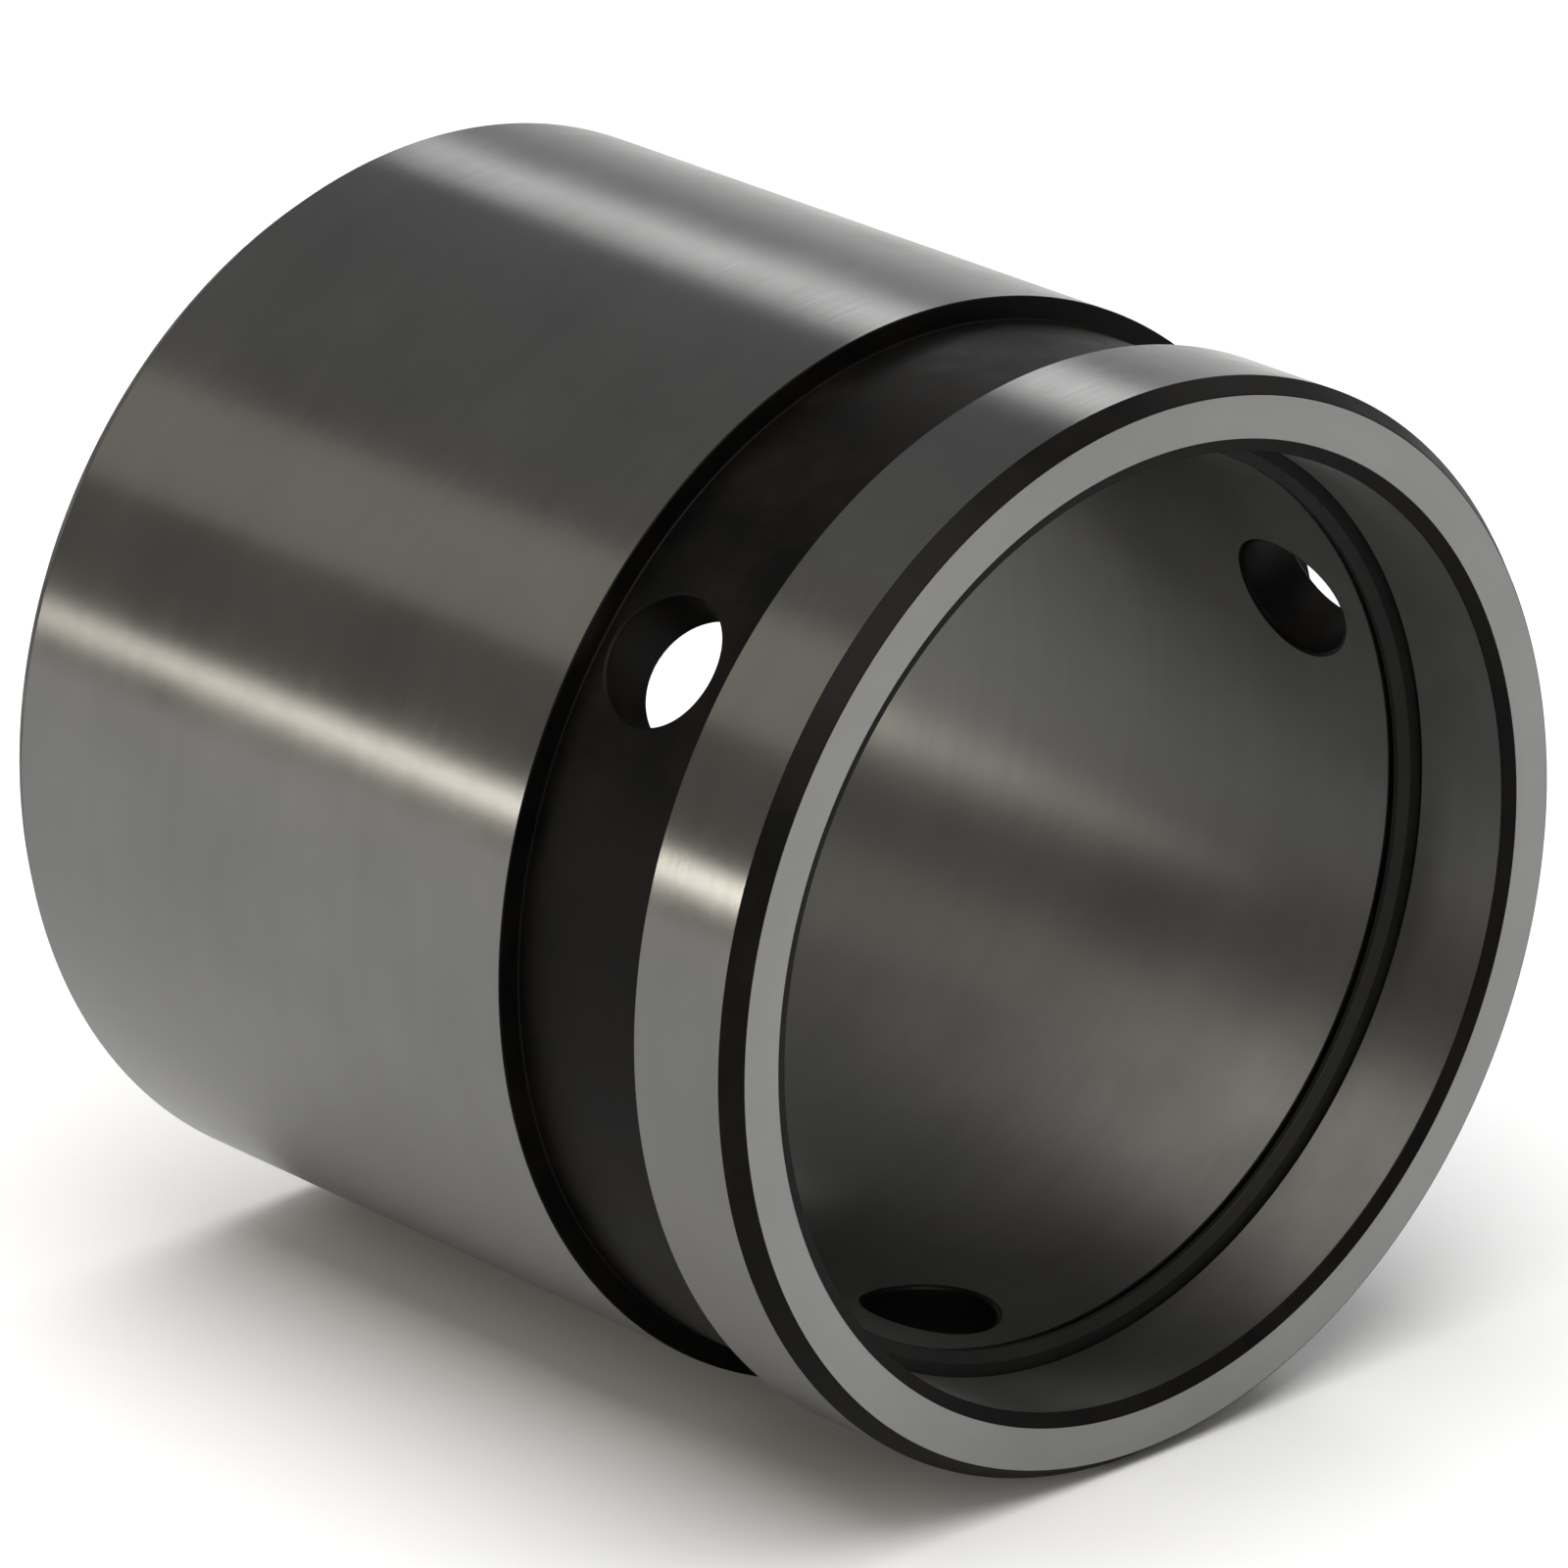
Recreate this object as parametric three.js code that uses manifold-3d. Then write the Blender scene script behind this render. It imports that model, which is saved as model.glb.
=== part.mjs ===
// A plain bush for a heavy pin joint: a hardened and ground steel sleeve, and the rubber dust seal in its bore.
//
// The sleeve is pressed into a housing and a pin turns in its bore. Grease comes from the housing into the wide
// groove round the outside, and passes to the bore through three radial holes in that groove's floor. At the front
// the bore is stepped: a wider seat leads in to a shoulder, and the seal ring lies in the corner between them.
//
// Units are millimetres. The bush lies on its side with +Z up and its axis along Y. The front face, at the end
// with the groove and the seat, looks along -Y. The origin is the centre of the bush.

import * as THREE from "three";
import { mergeVertices } from "three/addons/utils/BufferGeometryUtils.js";
import Module from "manifold-3d";

const wasm = await Module();
wasm.setup();

// Driving dimensions. Distances called "start" are measured back from the front face.
const OUTER_DIAMETER = 120;
const BORE_DIAMETER = 100;
const LENGTH = 116;

const OUTER_CHAMFER = { depth: 1.5, length: 2.2 };
const BORE_CHAMFER = { depth: 1.5, length: 0.7 };

const GREASE_GROOVE = { start: 15.1, width: 20.6, depth: 2.6 };

// The seal's seat is wider than the bore. At its foot is a narrow groove, cut deeper, that ends at the shoulder.
const SEAT = { diameter: 104.5, length: 12.8 };
const SEAL_GROOVE = { width: 2.6, depth: 2 };

// Grease holes. The first one's angle is measured about Y from +X towards +Z.
const HOLE_COUNT = 3;
const HOLE_DIAMETER = 14.5;
const HOLE_RIM = 0.5;
const HOLE_START = 26.9;
const FIRST_HOLE_ANGLE = THREE.MathUtils.degToRad(22);

// The seal ring: a flat ring whose inner edge is bevelled on both sides to a lip that wipes the pin.
const SEAL_GAP = 0.3;
const SEAL_LIP_REACH = 0.3;
const SEAL_LIP_WIDTH = 0.6;
const SEAL_BEVEL = 1.2;

const TURN_STEPS = 64;
const HOLE_STEPS = 32;
const CUT_MARGIN = 1;
const MERGE_DISTANCE = 1e-4;

const OUTER_RADIUS = OUTER_DIAMETER / 2;
const BORE_RADIUS = BORE_DIAMETER / 2;
const HOLE_RADIUS = HOLE_DIAMETER / 2;
const GREASE_FLOOR = OUTER_RADIUS - GREASE_GROOVE.depth;
const SEAT_RADIUS = SEAT.diameter / 2;
const SEAL_FLOOR = SEAT_RADIUS + SEAL_GROOVE.depth;
const SHOULDER = SEAT.length + SEAL_GROOVE.width;

const groundSteel = new THREE.MeshStandardMaterial({ color: 0x83827c, roughness: 0.32, metalness: 1 });
const sealRubber = new THREE.MeshStandardMaterial({ color: 0x141414, roughness: 0.6, metalness: 0 });

// A profile point: its radius, and its distance back from the front face.
const point = (radius, start) => new THREE.Vector2(radius, start - LENGTH / 2);

// A lathe about Y. Half a step of turn centres a facet underneath, so the bush rests on a flat.
function turned(profile, steps) {
  return new THREE.LatheGeometry(profile, steps, Math.PI / steps);
}

// A closed section, turned. The section runs back along its outside and forward along its inside.
const turnedRing = (section) => turned([...section, section[0]], TURN_STEPS);

// The geometry with shared corners merged, and without the triangles that merging closes up.
function welded(geometry) {
  const bare = geometry.clone().deleteAttribute("normal").deleteAttribute("uv");
  const merged = mergeVertices(bare, MERGE_DISTANCE);
  const corners = merged.index.array;
  const kept = [];
  for (let i = 0; i < corners.length; i += 3) {
    const [a, b, c] = corners.slice(i, i + 3);
    if (a !== b && b !== c && c !== a) kept.push(a, b, c);
  }
  merged.setIndex(kept);
  return merged;
}

function solidFrom(geometry) {
  const { attributes, index } = welded(geometry);
  const vertProperties = attributes.position.array;
  const triVerts = new Uint32Array(index.array);
  return new wasm.Manifold(new wasm.Mesh({ numProp: 3, vertProperties, triVerts }));
}

function geometryFrom(solid) {
  const { vertProperties, triVerts } = solid.getMesh();
  return new THREE.BufferGeometry()
    .setAttribute("position", new THREE.BufferAttribute(vertProperties, 3))
    .setIndex(new THREE.BufferAttribute(triVerts, 1));
}

function namedMesh(geometry, name, material) {
  geometry.computeVertexNormals();
  const mesh = new THREE.Mesh(geometry, material);
  mesh.name = name;
  return mesh;
}

function sleeveSection() {
  const grooveEnd = GREASE_GROOVE.start + GREASE_GROOVE.width;
  const outside = [
    point(OUTER_RADIUS - OUTER_CHAMFER.depth, 0),
    point(OUTER_RADIUS, OUTER_CHAMFER.length),
    point(OUTER_RADIUS, GREASE_GROOVE.start),
    point(GREASE_FLOOR, GREASE_GROOVE.start),
    point(GREASE_FLOOR, grooveEnd),
    point(OUTER_RADIUS, grooveEnd),
    point(OUTER_RADIUS, LENGTH - OUTER_CHAMFER.length),
    point(OUTER_RADIUS - OUTER_CHAMFER.depth, LENGTH),
  ];
  const bore = [
    point(BORE_RADIUS + BORE_CHAMFER.depth, LENGTH),
    point(BORE_RADIUS, LENGTH - BORE_CHAMFER.length),
    point(BORE_RADIUS, SHOULDER),
  ];
  const seat = [
    point(SEAL_FLOOR, SHOULDER),
    point(SEAL_FLOOR, SEAT.length),
    point(SEAT_RADIUS, SEAT.length),
    point(SEAT_RADIUS, BORE_CHAMFER.length),
    point(SEAT_RADIUS + BORE_CHAMFER.depth, 0),
  ];
  return [...outside, ...bore, ...seat];
}

// The cutter for one grease hole, standing on Y: a drill that flares at both ends to break the hole's rims.
function holeCutter() {
  const flare = HOLE_RADIUS + HOLE_RIM + CUT_MARGIN;
  const inner = BORE_RADIUS - CUT_MARGIN;
  const outer = GREASE_FLOOR + CUT_MARGIN;
  const profile = [
    new THREE.Vector2(0, inner),
    new THREE.Vector2(flare, inner),
    new THREE.Vector2(HOLE_RADIUS, BORE_RADIUS + HOLE_RIM),
    new THREE.Vector2(HOLE_RADIUS, GREASE_FLOOR - HOLE_RIM),
    new THREE.Vector2(flare, outer),
    new THREE.Vector2(0, outer),
  ];
  return turned(profile, HOLE_STEPS);
}

// Turns the cutter from Y to the hole's own direction, and moves it along the bush.
function placedHoleCutter(angle) {
  const up = new THREE.Vector3(0, 1, 0);
  const direction = new THREE.Vector3(Math.cos(angle), 0, Math.sin(angle));
  const turn = new THREE.Quaternion().setFromUnitVectors(up, direction);
  return holeCutter()
    .applyQuaternion(turn)
    .translate(0, HOLE_START - LENGTH / 2, 0);
}

function bushingSleeve() {
  let solid = solidFrom(turnedRing(sleeveSection()));
  for (let hole = 0; hole < HOLE_COUNT; hole++) {
    const angle = FIRST_HOLE_ANGLE + (hole * 2 * Math.PI) / HOLE_COUNT;
    solid = solid.subtract(solidFrom(placedHoleCutter(angle)));
  }
  return namedMesh(geometryFrom(solid), "bushing_sleeve", groundSteel);
}

function dustSealRing() {
  const front = SEAT.length + SEAL_GAP;
  const back = SHOULDER - SEAL_GAP;
  const middle = (front + back) / 2;
  const outside = SEAL_FLOOR - SEAL_GAP;
  const lip = BORE_RADIUS - SEAL_LIP_REACH;
  const section = [
    point(outside, front),
    point(outside, back),
    point(lip + SEAL_BEVEL, back),
    point(lip, middle + SEAL_LIP_WIDTH / 2),
    point(lip, middle - SEAL_LIP_WIDTH / 2),
    point(lip + SEAL_BEVEL, front),
  ];
  return namedMesh(welded(turnedRing(section)), "dust_seal_ring", sealRubber);
}

const bushing = new THREE.Group();
bushing.add(bushingSleeve(), dustSealRing());

export default bushing;
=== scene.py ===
"""A plain pin bush: a fine mesh of the ground steel sleeve and of its rubber seal, around the CAD frame.

The bush lies on its side with its axis along Y and its front, grooved end towards -Y. Lengths here are in
millimetres and become metres where a mesh is made.
"""

from math import asin, atan2, cos, degrees, hypot, pi, radians, sin, sqrt

import bpy
from mathutils import Matrix, Vector


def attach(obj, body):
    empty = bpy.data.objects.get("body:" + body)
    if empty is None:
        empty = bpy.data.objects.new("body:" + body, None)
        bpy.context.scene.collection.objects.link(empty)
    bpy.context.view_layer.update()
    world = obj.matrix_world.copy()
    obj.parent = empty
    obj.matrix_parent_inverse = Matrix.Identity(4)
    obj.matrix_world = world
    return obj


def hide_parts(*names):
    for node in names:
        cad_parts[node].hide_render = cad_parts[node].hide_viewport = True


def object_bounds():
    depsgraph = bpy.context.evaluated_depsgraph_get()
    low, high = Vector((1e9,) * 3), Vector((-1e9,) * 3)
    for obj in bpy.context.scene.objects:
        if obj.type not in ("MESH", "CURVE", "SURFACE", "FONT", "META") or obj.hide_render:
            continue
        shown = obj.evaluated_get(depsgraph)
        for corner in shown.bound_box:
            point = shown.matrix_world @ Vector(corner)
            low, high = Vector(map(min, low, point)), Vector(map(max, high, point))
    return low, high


MM = 0.001

# The sleeve, as the CAD model has it. A "start" is measured back from the front face.
OUTER_RADIUS = 60.0
BORE_RADIUS = 50.0
LENGTH = 116.0
OUTER_CHAMFER_DEPTH, OUTER_CHAMFER_LENGTH = 1.5, 2.2
BORE_CHAMFER_DEPTH, BORE_CHAMFER_LENGTH = 1.5, 0.7
GREASE_START, GREASE_WIDTH, GREASE_DEPTH = 15.1, 20.6, 2.6
SEAT_RADIUS, SEAT_LENGTH = 52.25, 12.8
SEAL_WIDTH, SEAL_DEPTH = 2.6, 2.0
HOLE_RADIUS = 7.25
HOLE_START = 26.9
HOLE_RIM = 0.5
FIRST_HOLE_DEGREE = 22
HOLE_COUNT = 3

# The seal ring, which stays clear of its groove by the gap.
SEAL_GAP = 0.3
SEAL_LIP_REACH = 0.3
SEAL_LIP_WIDTH = 0.6
SEAL_BEVEL = 1.2

# How finely the meshes are made. One turn step is one degree, so the holes' windows fall on the steps.
TURN_STEPS = 360
CORNER_STEPS = 4
EDGE_ROUND = 0.18
GROOVE_ROUND = 0.25
RIM_STEPS = 6
WINDOW_DEGREES = 11
WINDOW_HALF = 8.4
WINDOW_STEPS = 18
WINDOW_RINGS = 4
SAME_RADIUS = 1e-4
SEAL_EDGE_ROUND, SEAL_BEVEL_ROUND, SEAL_LIP_ROUND = 0.15, 0.2, 0.12

GREASE_FLOOR = OUTER_RADIUS - GREASE_DEPTH
SEAL_FLOOR = SEAT_RADIUS + SEAL_DEPTH
SHOULDER = SEAT_LENGTH + SEAL_WIDTH

# Camera: the photographed view. Distance is in outer radii.
CAMERA_AZIMUTH = -42.63
CAMERA_ELEVATION = 21.8
CAMERA_DISTANCE = 20.185
CAMERA_OFFSET_RIGHT, CAMERA_OFFSET_UP = 0.0048, 0.0032
LENS, SENSOR = 257.96, 36.0

# The floor lies just under the bush. These are in metres.
FLOOR_HALF_SIZE = 6.0
FLOOR_GAP = 0.0001

# How strong the studio's walls are, level with the floor and overhead.
HORIZON_STRENGTH, OVERHEAD_STRENGTH = 0.7, 0.38

# Turning marks follow the radius on a flat face, this much as closely as they follow the length elsewhere.
FACE_LAY = 0.7


# ---------------------------------------------------------------- node helpers


class Nodes:
    """A material's node tree, with short ways to add a node and to link it."""

    def __init__(self, name):
        self.material = bpy.data.materials.new(name)
        self.material.use_nodes = True
        self.tree = self.material.node_tree
        self.shader = self.tree.nodes["Principled BSDF"]

    def add(self, kind, **values):
        node = self.tree.nodes.new(kind)
        for key, value in values.items():
            setattr(node, key, value)
        return node

    def link(self, source, target):
        self.tree.links.new(source, target)

    def set(self, **values):
        for key, value in values.items():
            self.shader.inputs[key.replace("_", " ")].default_value = value

    def math(self, operation, a, b=None, clamp=False):
        node = self.add("ShaderNodeMath", operation=operation, use_clamp=clamp)
        for socket, value in zip(node.inputs, (a, b)):
            if isinstance(value, bpy.types.NodeSocket):
                self.link(value, socket)
            elif value is not None:
                socket.default_value = value
        return node.outputs[0]

    def noise(self, vector, scale, detail=4.0, roughness=0.55):
        node = self.add("ShaderNodeTexNoise")
        self.link(vector, node.inputs["Vector"])
        node.inputs["Scale"].default_value = scale
        node.inputs["Detail"].default_value = detail
        node.inputs["Roughness"].default_value = roughness
        return node.outputs["Fac"]

    def spread(self, value, low, high, out_low, out_high):
        node = self.add("ShaderNodeMapRange")
        self.link(value, node.inputs["Value"])
        for name, number in (("From Min", low), ("From Max", high), ("To Min", out_low), ("To Max", out_high)):
            node.inputs[name].default_value = number
        return node.outputs["Result"]

    def mix(self, factor, a, b):
        node = self.add("ShaderNodeMix", data_type="RGBA")
        self.link(factor, node.inputs["Factor"])
        for socket, value in ((node.inputs[6], a), (node.inputs[7], b)):
            if isinstance(value, bpy.types.NodeSocket):
                self.link(value, socket)
            else:
                socket.default_value = value
        return node.outputs[2]

    def bump(self, height, distance, strength=1.0):
        node = self.add("ShaderNodeBump")
        self.link(height, node.inputs["Height"])
        node.inputs["Distance"].default_value = distance
        node.inputs["Strength"].default_value = strength
        self.link(node.outputs["Normal"], self.shader.inputs["Normal"])

    def place(self):
        """The point on the object, and its parts along X, Y and Z."""
        point = self.add("ShaderNodeTexCoord").outputs["Object"]
        split = self.add("ShaderNodeSeparateXYZ")
        self.link(point, split.inputs[0])
        return point, split.outputs

    def turned_place(self, round_scale, along_scale):
        """A point for noise that is stretched round the axis, as turning and grinding marks are."""
        _, (x, y, z) = self.place()
        radius = self.math("SQRT", self.math("ADD", self.math("MULTIPLY", x, x), self.math("MULTIPLY", z, z)))
        joined = self.add("ShaderNodeCombineXYZ")
        self.link(self.math("MULTIPLY", x, round_scale), joined.inputs[0])
        lengthwise = self.math("ADD", y, self.math("MULTIPLY", radius, FACE_LAY))
        self.link(self.math("MULTIPLY", lengthwise, along_scale), joined.inputs[1])
        self.link(self.math("MULTIPLY", z, round_scale), joined.inputs[2])
        return joined.outputs[0]


def rgb(red, green, blue):
    return (red, green, blue, 1.0)


# ------------------------------------------------------------------- materials

# A quarter turn: grinding marks run round the bush, so its highlights are drawn out along it.
ACROSS_THE_LAY = 0.25


def ground_steel(name, dark, light, roughness, anisotropy, lay):
    """Steel with a fine lay of grinding marks round the axis, soft cloudy staining and a few deeper lines."""
    n = Nodes(name)
    n.set(Metallic=1.0, Anisotropic=anisotropy, Anisotropic_Rotation=ACROSS_THE_LAY)
    point, _ = n.place()
    fine = n.noise(n.turned_place(60.0, lay), 1.0, detail=5.0, roughness=0.65)
    broad = n.noise(n.turned_place(12.0, 420.0), 1.0, detail=3.0)
    cloud = n.noise(point, 38.0, detail=5.0, roughness=0.6)
    stain = n.spread(cloud, 0.34, 0.68, 0.0, 1.0)
    tone = n.math("ADD", n.math("MULTIPLY", stain, 0.55), n.math("MULTIPLY", broad, 0.45), clamp=True)
    n.link(n.mix(tone, rgb(*dark), rgb(*light)), n.shader.inputs["Base Color"])
    marks = n.math("ADD", n.math("MULTIPLY", fine, 0.5), n.math("MULTIPLY", cloud, 0.5))
    n.link(n.spread(marks, 0.3, 0.7, roughness - 0.05, roughness + 0.07), n.shader.inputs["Roughness"])
    n.bump(fine, 0.000012, 0.35)
    tangent = n.add("ShaderNodeTangent", direction_type="RADIAL", axis="Y")
    n.link(tangent.outputs[0], n.shader.inputs["Tangent"])
    return n.material


def black_steel(name, base, roughness):
    """Unground, heat-treated steel: a black scale with turning marks and slightly worn, browner patches."""
    n = Nodes(name)
    n.set(Metallic=0.0, Specular_IOR_Level=0.05)
    point, _ = n.place()
    patches = n.noise(point, 95.0, detail=6.0, roughness=0.65)
    turning = n.noise(n.turned_place(25.0, 1900.0), 1.0, detail=4.0)
    worn = tuple(2.1 * part + extra for part, extra in zip(base, (0.003, 0.0015, 0.0)))
    n.link(n.mix(n.spread(patches, 0.4, 0.75, 0.0, 1.0), rgb(*base), rgb(*worn)), n.shader.inputs["Base Color"])
    n.link(n.spread(patches, 0.3, 0.7, roughness - 0.08, roughness + 0.1), n.shader.inputs["Roughness"])
    n.bump(n.math("ADD", turning, n.math("MULTIPLY", patches, 0.5)), 0.00004, 0.5)
    return n.material


def seal_rubber():
    n = Nodes("seal_rubber")
    n.set(Specular_IOR_Level=0.2)
    point, _ = n.place()
    grain = n.noise(point, 1400.0, detail=3.0)
    dust = n.noise(point, 110.0, detail=4.0)
    n.link(n.mix(n.spread(dust, 0.45, 0.8, 0.0, 1.0), rgb(0.003, 0.003, 0.003), rgb(0.006, 0.006, 0.005)),
           n.shader.inputs["Base Color"])
    n.link(n.spread(grain, 0.3, 0.7, 0.5, 0.66), n.shader.inputs["Roughness"])
    n.bump(grain, 0.00003, 0.4)
    return n.material


# ---------------------------------------------------------------- mesh helpers


def arc(centre, radius, start, end, steps):
    """Profile points (radius, y, normal radius, normal y) on an arc. A negative radius is a hollow corner."""
    points = []
    for step in range(steps + 1):
        angle = radians(start + (end - start) * step / steps)
        away = (cos(angle), sin(angle))
        side = 1 if radius > 0 else -1
        points.append((centre[0] + abs(radius) * away[0], centre[1] + abs(radius) * away[1],
                       side * away[0], side * away[1]))
    return points


def rounded(corners, rounds):
    """A closed section whose corners are rounded. Each corner becomes an arc that meets its two sides smoothly.

    The section runs with its material on the left, so that (dy, -dr) along a side is its outward normal.
    """
    section = []
    count = len(corners)
    for index, (corner, size) in enumerate(zip(corners, rounds)):
        before = Vector(corners[index - 1])
        here = Vector(corner)
        after = Vector(corners[(index + 1) % count])
        into, out = (here - before).normalized(), (after - here).normalized()
        turn = into.x * out.y - into.y * out.x
        angle = abs(atan2(turn, into.dot(out)))
        reach = abs(size) * sin(angle / 2) / cos(angle / 2)
        first_normal = Vector((into.y, -into.x))
        side = 1 if turn > 0 else -1
        centre = here - into * reach - first_normal * (side * abs(size))
        start = degrees(atan2(side * first_normal.y, side * first_normal.x))
        end = start + side * degrees(angle)
        section.append(arc(centre, side * abs(size), start, end, CORNER_STEPS))
    return section


class Builder:
    """Collects vertices with their true normals, and faces with the material zone of each."""

    def __init__(self):
        self.points, self.normals, self.faces, self.zones = [], [], [], []

    def vertex(self, point, normal):
        self.points.append(tuple(part * MM for part in point))
        self.normals.append(tuple(Vector(normal).normalized()))
        return len(self.points) - 1

    def quad(self, corners, zone):
        self.faces.append(tuple(corners))
        self.zones.append(zone)

    def drop_unused(self):
        """Leaves out the vertices that no face uses, such as those under a hole."""
        used = sorted({corner for face in self.faces for corner in face})
        place = {old: new for new, old in enumerate(used)}
        self.points = [self.points[old] for old in used]
        self.normals = [self.normals[old] for old in used]
        self.faces = [tuple(place[corner] for corner in face) for face in self.faces]

    def object(self, name, materials):
        self.drop_unused()
        mesh = bpy.data.meshes.new(name)
        mesh.from_pydata(self.points, [], self.faces)
        for material in materials:
            mesh.materials.append(material)
        mesh.polygons.foreach_set("material_index", self.zones)
        mesh.polygons.foreach_set("use_smooth", [True] * len(self.faces))
        mesh.validate()
        mesh.update()
        mesh.normals_split_custom_set_from_vertices(self.normals)
        made = bpy.data.objects.new(name, mesh)
        bpy.context.scene.collection.objects.link(made)
        return made


def at_angle(degree, radius, y):
    angle = radians(degree)
    return (radius * cos(angle), y, radius * sin(angle))


def turned_grid(builder, profile):
    """A vertex for each profile point at each degree round the axis, by (row, degree)."""
    grid = {}
    for row, (radius, y, normal_radius, normal_y) in enumerate(profile):
        for degree in range(TURN_STEPS):
            normal = at_angle(degree, normal_radius, normal_y)
            grid[row, degree] = builder.vertex(at_angle(degree, radius, y), normal)
    return grid


def along(start):
    """The y of a place measured back from the front face."""
    return start - LENGTH / 2


# ---------------------------------------------------------------------- sleeve

GROUND_OUTSIDE, GROUND_BORE, GROUND_END, BLACK = range(4)


def sleeve_corners():
    """The section's corners with, for each, its rounding and the zone of the side that follows it."""
    grease_end = GREASE_START + GREASE_WIDTH
    outer_face = OUTER_RADIUS - OUTER_CHAMFER_DEPTH
    return [
        ((outer_face, along(0)), EDGE_ROUND, BLACK),
        ((OUTER_RADIUS, along(OUTER_CHAMFER_LENGTH)), EDGE_ROUND, GROUND_OUTSIDE),
        ((OUTER_RADIUS, along(GREASE_START)), EDGE_ROUND, BLACK),
        ((GREASE_FLOOR, along(GREASE_START)), GROOVE_ROUND, BLACK),
        ((GREASE_FLOOR, along(grease_end)), GROOVE_ROUND, BLACK),
        ((OUTER_RADIUS, along(grease_end)), EDGE_ROUND, GROUND_OUTSIDE),
        ((OUTER_RADIUS, along(LENGTH - OUTER_CHAMFER_LENGTH)), EDGE_ROUND, BLACK),
        ((outer_face, along(LENGTH)), EDGE_ROUND, GROUND_END),
        ((BORE_RADIUS + BORE_CHAMFER_DEPTH, along(LENGTH)), EDGE_ROUND, BLACK),
        ((BORE_RADIUS, along(LENGTH - BORE_CHAMFER_LENGTH)), EDGE_ROUND, GROUND_BORE),
        ((BORE_RADIUS, along(SHOULDER)), EDGE_ROUND, BLACK),
        ((SEAL_FLOOR, along(SHOULDER)), EDGE_ROUND, BLACK),
        ((SEAL_FLOOR, along(SEAT_LENGTH)), EDGE_ROUND, BLACK),
        ((SEAT_RADIUS, along(SEAT_LENGTH)), EDGE_ROUND, GROUND_BORE),
        ((SEAT_RADIUS, along(BORE_CHAMFER_LENGTH)), EDGE_ROUND, BLACK),
        ((SEAT_RADIUS + BORE_CHAMFER_DEPTH, along(0)), EDGE_ROUND, GROUND_END),
    ]


def hole_degrees():
    """Each hole's angle about Y, from +X towards +Z."""
    return [FIRST_HOLE_DEGREE + hole * 360 // HOLE_COUNT for hole in range(HOLE_COUNT)]


def in_window(degree):
    """Whether the step that starts at this degree is inside a hole's window."""
    return any(0 <= (degree - centre + WINDOW_DEGREES) % 360 < 2 * WINDOW_DEGREES for centre in hole_degrees())


def with_window(first, last):
    """The extra points on the long side between `first` and `last`, one for each step along the windows."""
    low, high = along(HOLE_START) - WINDOW_HALF, along(HOLE_START) + WINDOW_HALF
    steps = [low + (high - low) * step / WINDOW_STEPS for step in range(WINDOW_STEPS + 1)]
    if first[1] > last[1]:
        steps.reverse()
    return [(first[0], y, first[2], first[3]) for y in steps]


def is_windowed(a, b):
    """Whether the side between two profile points carries the holes: the bore, or the grease groove's floor."""
    level = abs(a[0] - b[0]) < SAME_RADIUS
    low, high = sorted((a[1], b[1]))
    spans = low < along(HOLE_START) - WINDOW_HALF and high > along(HOLE_START) + WINDOW_HALF
    on_wall = min(abs(a[0] - BORE_RADIUS), abs(a[0] - GREASE_FLOOR)) < SAME_RADIUS
    return level and spans and on_wall


def sleeve_profile():
    """All profile points in order, the zone of the side after each, and the steps that lie in a window."""
    corners = sleeve_corners()
    arcs = rounded([corner for corner, _, _ in corners], [size for _, size, _ in corners])
    profile, zones, windowed = [], [], []
    for index, points in enumerate(arcs):
        zone_before = corners[index - 1][2]
        zone_after = corners[index][2]
        rounding_zone = zone_before if BLACK not in (zone_before, zone_after) else BLACK
        for point in points[:-1]:
            profile.append(point)
            zones.append(rounding_zone)
            windowed.append(False)
        profile.append(points[-1])
        zones.append(zone_after)
        windowed.append(False)
        following = arcs[(index + 1) % len(arcs)][0]
        if is_windowed(points[-1], following):
            for extra in with_window(points[-1], following):
                profile.append(extra)
                zones.append(zone_after)
                windowed.append(True)
            windowed[-1] = False
    return profile, zones, windowed


def window_patch(builder, grid, rows, centre, radius, outward, zone):
    """Fills one window with rings that run from its square edge to the hole's rim. Returns the rim's vertices.

    `grid` maps (row, degree) to a vertex and `rows` are the window's rows, in order of y. Each ring has one
    vertex for each on the edge, so the faces are all quads.
    """
    low, high = centre - WINDOW_DEGREES, centre + WINDOW_DEGREES
    edge = [(rows[0], degree) for degree in range(low, high)]
    edge += [(row, high) for row in rows[:-1]]
    edge += [(rows[-1], degree) for degree in range(high, low, -1)]
    edge += [(row, low) for row in rows[:0:-1]]
    previous = [grid[row, degree % 360] for row, degree in edge]
    y_middle = along(HOLE_START)
    flat = []
    for (row, degree), index in zip(edge, previous):
        y = builder.points[index][1] / MM
        flat.append((radius * sin(radians(degree - centre)), y - y_middle))
    rim = HOLE_RADIUS + HOLE_RIM
    for ring in range(1, WINDOW_RINGS + 1):
        share = ring / WINDOW_RINGS
        row_now = []
        for across, lengthwise in flat:
            size = hypot(across, lengthwise)
            spread = (rim / size) * share + (1 - share)
            a, l = across * spread, lengthwise * spread
            turn = degrees(asin(a / radius))
            normal = at_angle(centre + turn, outward, 0)
            row_now.append(builder.vertex(at_angle(centre + turn, radius, y_middle + l), normal))
        stitch(builder, previous, row_now, zone, outward < 0)
        previous = row_now
    return previous, [atan2(l, a) for a, l in flat]


def stitch(builder, first, second, zone, forward):
    """Quads between two closed rows of vertices of the same length."""
    count = len(first)
    for index in range(count):
        after = (index + 1) % count
        corners = (first[index], first[after], second[after], second[index])
        builder.quad(corners if forward else corners[::-1], zone)


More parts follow.
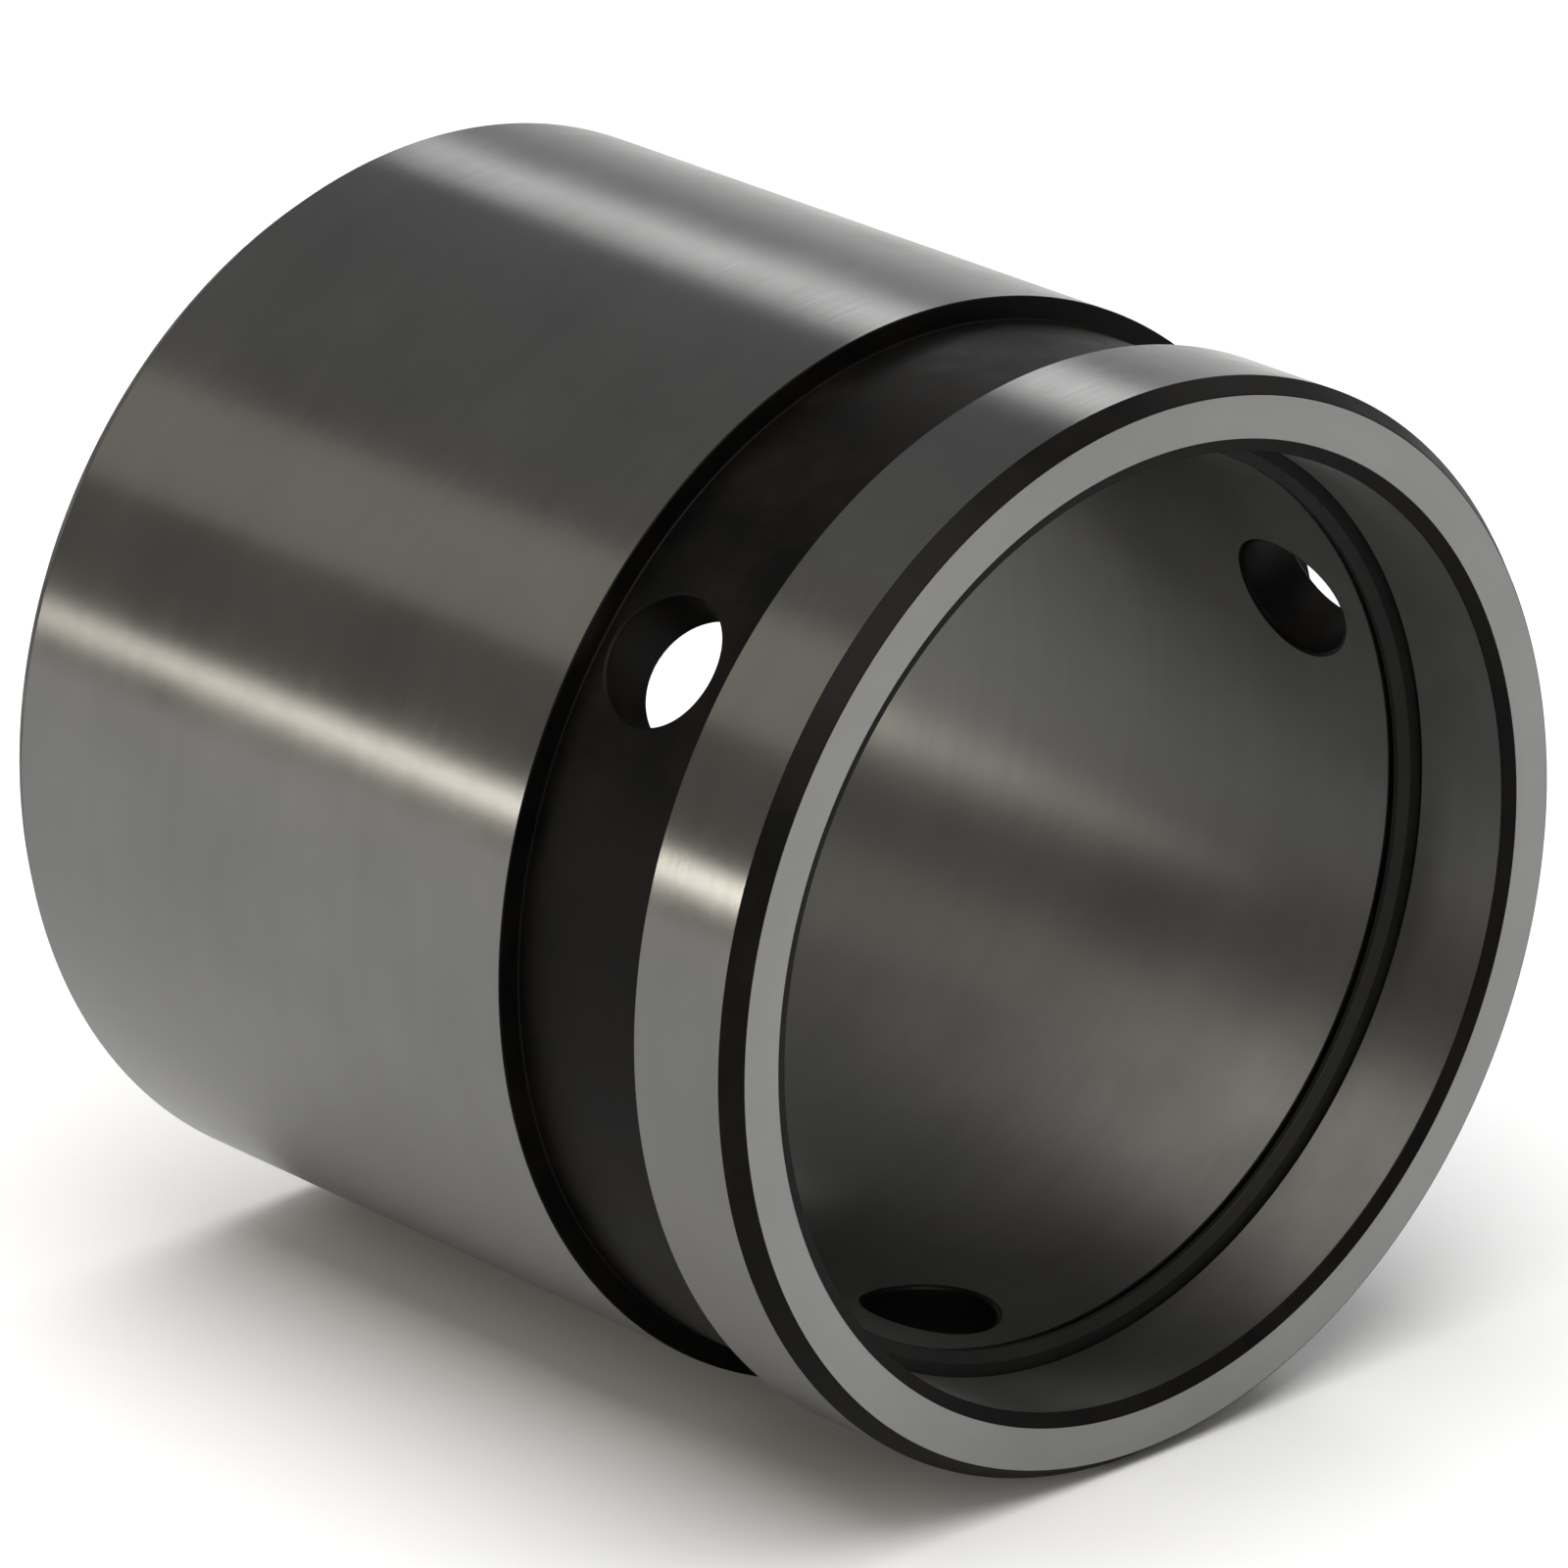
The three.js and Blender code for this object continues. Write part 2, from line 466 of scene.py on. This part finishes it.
def hole_point(centre, size, angle, height):
    """A point and the direction away from the hole's own axis, in the hole's own frame turned into place."""
    turn = radians(centre)
    up, across = Vector((cos(turn), 0, sin(turn))), Vector((-sin(turn), 0, cos(turn)))
    away = across * cos(angle) + Vector((0, 1, 0)) * sin(angle)
    point = up * height + away * size + Vector((0, along(HOLE_START), 0))
    return point, away


def surface_height(radius, size, angle):
    """How far out along the hole's axis a wall of this radius is met, `size` off that axis."""
    across = size * cos(angle)
    return sqrt(radius * radius - across * across)


def hole_rows(builder, centre, angles, radius, outward):
    """The rounded rim's rows of vertices, from the wall's surface to the hole's straight wall."""
    rows = []
    for step in range(1, RIM_STEPS + 1):
        bend = (pi / 2) * step / RIM_STEPS
        size = HOLE_RADIUS + HOLE_RIM * (1 - sin(bend))
        row = []
        for angle in angles:
            height = surface_height(radius, size, angle) - outward * HOLE_RIM * (1 - cos(bend))
            point, away = hole_point(centre, size, angle, height)
            surface = Vector((point.x, 0, point.z)).normalized() * outward
            normal = surface * cos(bend) - away * sin(bend)
            row.append(builder.vertex(point, normal))
        rows.append(row)
    return rows


def sleeve_mesh(builder):
    """Turns the section, but leaves out the windows, which are filled round their holes."""
    profile, zones, windowed = sleeve_profile()
    count = len(profile)
    grid = turned_grid(builder, profile)
    for row in range(count):
        after = (row + 1) % count
        for degree in range(TURN_STEPS):
            if windowed[row] and in_window(degree):
                continue
            turned = (degree + 1) % TURN_STEPS
            corners = (grid[row, degree], grid[after, degree], grid[after, turned], grid[row, turned])
            builder.quad(corners, zones[row])
    cut_holes(builder, profile, windowed, grid)


def cut_holes(builder, profile, windowed, grid):
    """Fills each window on the groove floor and the bore, and joins the two with the hole's wall."""
    floor_rows = window_rows(profile, windowed, GREASE_FLOOR)
    bore_rows = window_rows(profile, windowed, BORE_RADIUS)
    for centre in hole_degrees():
        outer, angles = window_patch(builder, grid, floor_rows, centre, GREASE_FLOOR, 1, BLACK)
        inner, _ = window_patch(builder, grid, bore_rows, centre, BORE_RADIUS, -1, GROUND_BORE)
        outer_rows = [outer] + hole_rows(builder, centre, angles, GREASE_FLOOR, 1)
        inner_rows = [inner] + hole_rows(builder, centre, angles, BORE_RADIUS, -1)
        rows = outer_rows + inner_rows[::-1]
        for first, second in zip(rows, rows[1:]):
            stitch(builder, first, second, BLACK, False)


def window_rows(profile, windowed, radius):
    """The profile rows of one surface's windows, in order of y."""
    rows = [row for row, point in enumerate(profile) if abs(point[0] - radius) < SAME_RADIUS]
    inside = [row for row in rows if windowed[row]]
    inside.append(inside[-1] + 1)
    return sorted(inside, key=lambda row: profile[row][1])


def make_sleeve():
    builder = Builder()
    sleeve_mesh(builder)
    materials = [
        ground_steel("ground_outside", (0.12, 0.12, 0.118), (0.155, 0.155, 0.152), 0.21, 0.8, 5200.0),
        ground_steel("ground_bore", (0.13, 0.13, 0.128), (0.185, 0.185, 0.181), 0.42, 0.88, 5200.0),
        ground_steel("ground_end", (0.19, 0.19, 0.188), (0.24, 0.24, 0.236), 0.36, 0.3, 3400.0),
        black_steel("black_unground", (0.002, 0.002, 0.002), 0.45),
    ]
    sleeve = builder.object("steel_sleeve", materials)
    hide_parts("bushing_sleeve")
    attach(sleeve, "root")


# ------------------------------------------------------------------------ seal


def seal_corners():
    """The ring's corners with the rounding of each: a flat ring whose inner edge is bevelled to a lip."""
    front = along(SEAT_LENGTH + SEAL_GAP)
    back = along(SHOULDER - SEAL_GAP)
    middle = (front + back) / 2
    outside = SEAL_FLOOR - SEAL_GAP
    lip = BORE_RADIUS - SEAL_LIP_REACH
    return [
        ((outside, front), SEAL_EDGE_ROUND),
        ((outside, back), SEAL_EDGE_ROUND),
        ((lip + SEAL_BEVEL, back), SEAL_BEVEL_ROUND),
        ((lip, middle + SEAL_LIP_WIDTH / 2), SEAL_LIP_ROUND),
        ((lip, middle - SEAL_LIP_WIDTH / 2), SEAL_LIP_ROUND),
        ((lip + SEAL_BEVEL, front), SEAL_BEVEL_ROUND),
    ]


def make_seal():
    corners = seal_corners()
    arcs = rounded([corner for corner, _ in corners], [size for _, size in corners])
    profile = [point for points in arcs for point in points]
    builder = Builder()
    grid = turned_grid(builder, profile)
    count = len(profile)
    for row in range(count):
        after = (row + 1) % count
        for degree in range(TURN_STEPS):
            turned = (degree + 1) % TURN_STEPS
            builder.quad((grid[row, degree], grid[after, degree], grid[after, turned], grid[row, turned]), 0)
    seal = builder.object("rubber_seal", [seal_rubber()])
    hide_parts("dust_seal_ring")
    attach(seal, "root")


# ------------------------------------------------------- camera, floor, lights


def camera_axes():
    azimuth, elevation = radians(CAMERA_AZIMUTH), radians(CAMERA_ELEVATION)
    right = Vector((cos(azimuth), sin(azimuth), 0))
    back = Vector((sin(azimuth) * cos(elevation), -cos(azimuth) * cos(elevation), sin(elevation)))
    return right, back.cross(right), back


def make_camera():
    right, up, back = camera_axes()
    radius = OUTER_RADIUS * MM
    data = bpy.data.cameras.new("camera")
    data.lens, data.sensor_width = LENS, SENSOR
    data.clip_start, data.clip_end = 0.01, 50.0
    camera = bpy.data.objects.new("camera", data)
    offset = right * CAMERA_OFFSET_RIGHT + up * CAMERA_OFFSET_UP
    camera.location = (back * CAMERA_DISTANCE + offset) * radius
    camera.rotation_mode = "QUATERNION"
    camera.rotation_quaternion = (-back).to_track_quat("-Z", "Y")
    bpy.context.scene.collection.objects.link(camera)
    bpy.context.scene.camera = camera


def make_floor(height):
    """A pale floor whose far side is out of sight."""
    size = FLOOR_HALF_SIZE
    mesh = bpy.data.meshes.new("floor")
    corners = [(-size, -size, height), (size, -size, height), (size, size, height), (-size, size, height)]
    mesh.from_pydata(corners, [], [(0, 1, 2, 3)])
    n = Nodes("floor")
    n.set(Base_Color=rgb(0.86, 0.86, 0.86), Roughness=0.9)
    mesh.materials.append(n.material)
    floor = bpy.data.objects.new("floor", mesh)
    bpy.context.scene.collection.objects.link(floor)


def mirrored_at(degree):
    """The direction round the axis that the outside mirrors to the camera where it faces `degree`."""
    back = camera_axes()[2]
    return 2 * degree - degrees(atan2(back.z, back.x))


def panel(name, degree, distance, low, high, width, radiance,
          colour=(1, 1, 1), mirrored=True, scattered=True):
    """A soft light panel that faces the bush from `degree` round the axis, between `low` and `high` along Y.

    `radiance` is how bright its face is. A panel that isn't mirrored lights the scene but shows in no
    gloss, and one that isn't scattered shows in gloss alone.
    """
    data = bpy.data.lights.new(name, "AREA")
    data.shape = "RECTANGLE"
    data.size, data.size_y = width, high - low
    data.energy = radiance * pi * data.size * data.size_y
    data.color = colour
    towards = Vector(at_angle(degree, 1, 0))
    along_bush = Vector((0, 1, 0))
    light = bpy.data.objects.new(name, data)
    light.matrix_world = Matrix((along_bush.cross(towards), along_bush, towards)).transposed().to_4x4()
    light.location = towards * distance + along_bush * ((low + high) / 2)
    light.visible_glossy = mirrored
    light.visible_diffuse = scattered
    bpy.context.scene.collection.objects.link(light)


def studio_world():
    """Pale at the horizon and darker overhead, as a room is round a table, with a warm wall on the left."""
    world = bpy.data.worlds.new("studio")
    world.use_nodes = True
    tree = world.node_tree
    background = tree.nodes["Background"]
    direction = tree.nodes.new("ShaderNodeTexCoord").outputs["Generated"]
    split = tree.nodes.new("ShaderNodeSeparateXYZ")
    tree.links.new(direction, split.inputs[0])

    def ramp(source, low, high, out_low, out_high):
        node = tree.nodes.new("ShaderNodeMapRange")
        node.interpolation_type = "SMOOTHSTEP"
        tree.links.new(source, node.inputs["Value"])
        for name, value in (("From Min", low), ("From Max", high), ("To Min", out_low), ("To Max", out_high)):
            node.inputs[name].default_value = value
        return node.outputs["Result"]

    tree.links.new(ramp(split.outputs["Z"], 0.0, 0.2, HORIZON_STRENGTH, OVERHEAD_STRENGTH),
                   background.inputs["Strength"])
    tint = tree.nodes.new("ShaderNodeMix")
    tint.data_type = "RGBA"
    tree.links.new(ramp(split.outputs["X"], -0.5, -0.05, 1.0, 0.0), tint.inputs["Factor"])
    tint.inputs[6].default_value = rgb(1, 1, 1)
    tint.inputs[7].default_value = rgb(1, 0.93, 0.83)
    tree.links.new(tint.outputs[2], background.inputs["Color"])
    bpy.context.scene.world = world


def make_lights():
    studio_world()
    panel("left_strip", mirrored_at(160.8), 1.6, 0.1, 1.5, 0.13, 13.0, colour=(1, 0.95, 0.84))
    panel("left_wall", mirrored_at(140), 1.8, 0.2, 2.6, 0.8, 0.6, colour=(1, 0.95, 0.82))
    panel("front_wall", mirrored_at(133), 1.8, -2.4, -0.5, 1.6, 8.0,
          colour=(1, 0.95, 0.86), scattered=False)
    panel("right_box", mirrored_at(78), 1.8, -0.4, 1.8, 0.9, 0.28)
    panel("right_strip", mirrored_at(94.5), 1.7, -0.4, 1.8, 0.42, 2.8)
    panel("fill", 100, 2.6, -1.8, 1.0, 2.6, 3.7, mirrored=False)


# ------------------------------------------------------------------------ make

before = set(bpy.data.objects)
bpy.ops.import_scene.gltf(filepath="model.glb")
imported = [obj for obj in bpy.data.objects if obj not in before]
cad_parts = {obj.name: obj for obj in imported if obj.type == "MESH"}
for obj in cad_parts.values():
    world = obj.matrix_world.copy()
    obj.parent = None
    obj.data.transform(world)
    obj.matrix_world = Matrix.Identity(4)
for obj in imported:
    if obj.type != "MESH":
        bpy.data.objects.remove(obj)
cad_low, cad_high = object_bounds()
make_camera()
make_sleeve()
make_seal()
make_floor(cad_low.z - FLOOR_GAP)
make_lights()
bpy.context.scene.view_settings.view_transform = "Standard"
